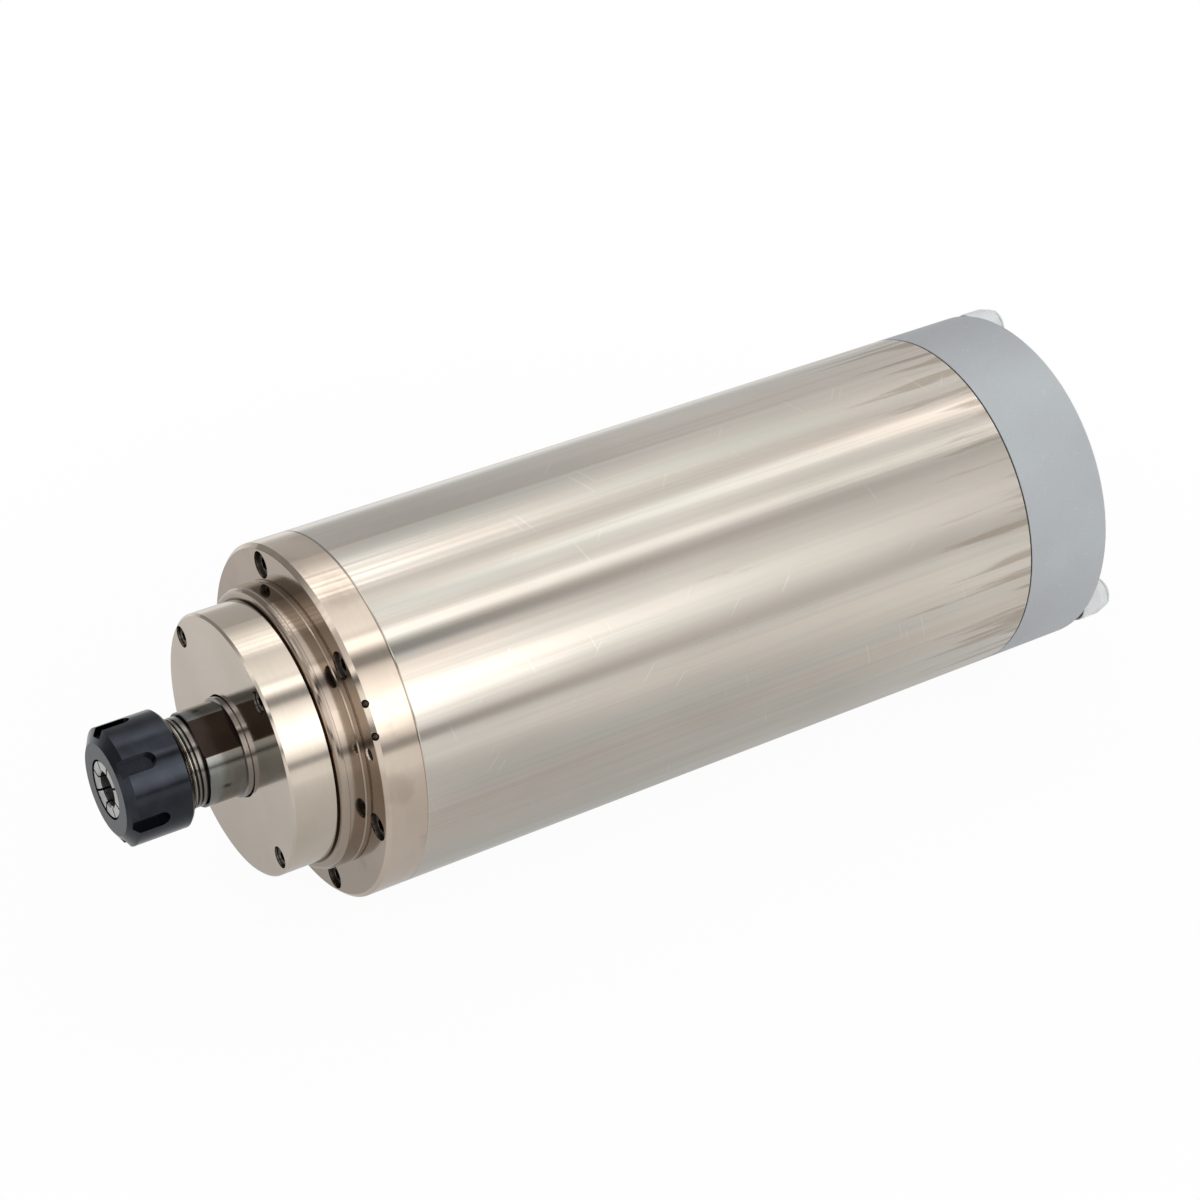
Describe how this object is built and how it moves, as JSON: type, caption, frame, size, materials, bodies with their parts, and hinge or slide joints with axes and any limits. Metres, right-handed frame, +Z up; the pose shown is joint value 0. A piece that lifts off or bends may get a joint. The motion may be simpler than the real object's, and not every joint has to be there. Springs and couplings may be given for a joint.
{
  "type": "motor spindle",
  "caption": "Liquid-cooled motor spindle: round steel body with a clamping nut and collet at the front and hose fittings and a power socket at the rear.",
  "frame": {"origin": "on the spindle's axis at the flange's front face, where the register starts", "axes": "+X along the spindle's axis from the tool end to the rear, +Z up"},
  "size_m": [0.3853, 0.125, 0.125],
  "materials": {
    "flange_steel": "turned steel, fine lathe marks",
    "cap_steel": "ground steel, satin",
    "shell_steel": "ground stainless steel with fine lines round it",
    "cover_aluminium": "matt anodised, fine blasted grain",
    "black_steel": "black oxide",
    "nut_steel": "polished black oxide",
    "shaft_steel": "ground and hardened",
    "collet_steel": "ground spring steel",
    "jacket_aluminium": "turned",
    "lamination_steel": "stacked electrical sheet",
    "copper": "varnished copper wire",
    "cast_aluminium": "die cast",
    "bearing_steel": "ground bearing steel",
    "cage_resin": "cotton-filled phenolic resin",
    "spring_steel": "spring temper",
    "seal_rubber": "matt black",
    "fitting_plastic": "translucent pale plastic",
    "brass": "turned brass",
    "connector_metal": "matt nickel plate",
    "insert_plastic": "moulded",
    "contact_gold": "gold flashed",
    "lead_insulation": "silicone wire"
  },
  "bodies": {
    "housing": {"front_flange": "flange_steel", "flange_screws": "black_steel", "bearing_cap": "cap_steel", "cap_screws": "black_steel", "outer_shell": "shell_steel", "water_jacket": "jacket_aluminium", "jacket_o_rings": "seal_rubber", "stator_core": "lamination_steel", "stator_windings": "copper", "front_outer_spacer": "bearing_steel", "rear_bearing_housing": "jacket_aluminium", "rear_housing_screws": "black_steel", "rear_bearing_retainer": "cap_steel", "retainer_screws": "black_steel", "preload_spring": "spring_steel", "rear_cover": "cover_aluminium", "rear_cover_screws": "black_steel", "port_o_rings": "seal_rubber", "water_in_stem": "brass", "water_in_body": "fitting_plastic", "water_out_stem": "brass", "water_out_body": "fitting_plastic", "fitting_seals": "seal_rubber", "connector_shell": "connector_metal", "connector_insert": "insert_plastic", "connector_pins": "contact_gold", "connector_screws": "black_steel", "leads": "lead_insulation", "front_bearing_1_outer": "bearing_steel", "front_bearing_2_outer": "bearing_steel", "rear_bearing_1_outer": "bearing_steel", "rear_bearing_2_outer": "bearing_steel"},
    "rotor": {"shaft": "shaft_steel", "rotor_core": "lamination_steel", "rotor_cage": "cast_aluminium", "front_inner_spacer": "bearing_steel", "front_lock_nut": "black_steel", "rear_lock_nut": "black_steel", "front_bearing_1_inner": "bearing_steel", "front_bearing_2_inner": "bearing_steel", "rear_bearing_1_inner": "bearing_steel", "rear_bearing_2_inner": "bearing_steel"},
    "collet": {"collet": "collet_steel"},
    "nut": {"collet_nut": "nut_steel"},
    "water_in_collar": {"water_in_release": "fitting_plastic"},
    "water_out_collar": {"water_out_release": "fitting_plastic"},
    "front_cage_1": {"front_bearing_1_balls": "bearing_steel", "front_bearing_1_cage": "cage_resin"},
    "front_cage_2": {"front_bearing_2_balls": "bearing_steel", "front_bearing_2_cage": "cage_resin"},
    "rear_cage_1": {"rear_bearing_1_balls": "bearing_steel", "rear_bearing_1_cage": "cage_resin"},
    "rear_cage_2": {"rear_bearing_2_balls": "bearing_steel", "rear_bearing_2_cage": "cage_resin"}
  },
  "joints": [
    {"name": "shaft_spin", "type": "hinge", "parent": "housing", "child": "rotor", "pos_m": [0, 0, 0], "axis": [1, 0, 0], "continuous": true},
    {"name": "front_cage_1_spin", "type": "hinge", "parent": "housing", "child": "front_cage_1", "pos_m": [0, 0, 0], "axis": [1, 0, 0], "continuous": true},
    {"name": "front_cage_2_spin", "type": "hinge", "parent": "housing", "child": "front_cage_2", "pos_m": [0, 0, 0], "axis": [1, 0, 0], "continuous": true},
    {"name": "rear_cage_1_spin", "type": "hinge", "parent": "housing", "child": "rear_cage_1", "pos_m": [0, 0, 0], "axis": [1, 0, 0], "continuous": true},
    {"name": "rear_cage_2_spin", "type": "hinge", "parent": "housing", "child": "rear_cage_2", "pos_m": [0, 0, 0], "axis": [1, 0, 0], "continuous": true},
    {"name": "collet_draw", "type": "slide", "parent": "rotor", "child": "collet", "axis": [-1, 0, 0], "range_m": [0, 0.0135]},
    {"name": "nut_turn", "type": "hinge", "parent": "collet", "child": "nut", "pos_m": [0, 0, 0], "axis": [-1, 0, 0], "range_deg": [0, 3240]},
    {"name": "water_in_release_push", "type": "slide", "parent": "housing", "child": "water_in_collar", "axis": [-1, 0, 0], "range_m": [0, 0.0008], "stiffness_N_per_m": 800},
    {"name": "water_out_release_push", "type": "slide", "parent": "housing", "child": "water_out_collar", "axis": [-1, 0, 0], "range_m": [0, 0.0008], "stiffness_N_per_m": 800}
  ],
  "couplings": [
    {"joint": "front_cage_1_spin", "follows": "shaft_spin", "ratio": 0.4207},
    {"joint": "front_cage_2_spin", "follows": "shaft_spin", "ratio": 0.4207},
    {"joint": "rear_cage_1_spin", "follows": "shaft_spin", "ratio": 0.4129},
    {"joint": "rear_cage_2_spin", "follows": "shaft_spin", "ratio": 0.4129},
    {"joint": "collet_draw", "follows": "nut_turn", "m_per_rad": 0.0002387}
  ]
}
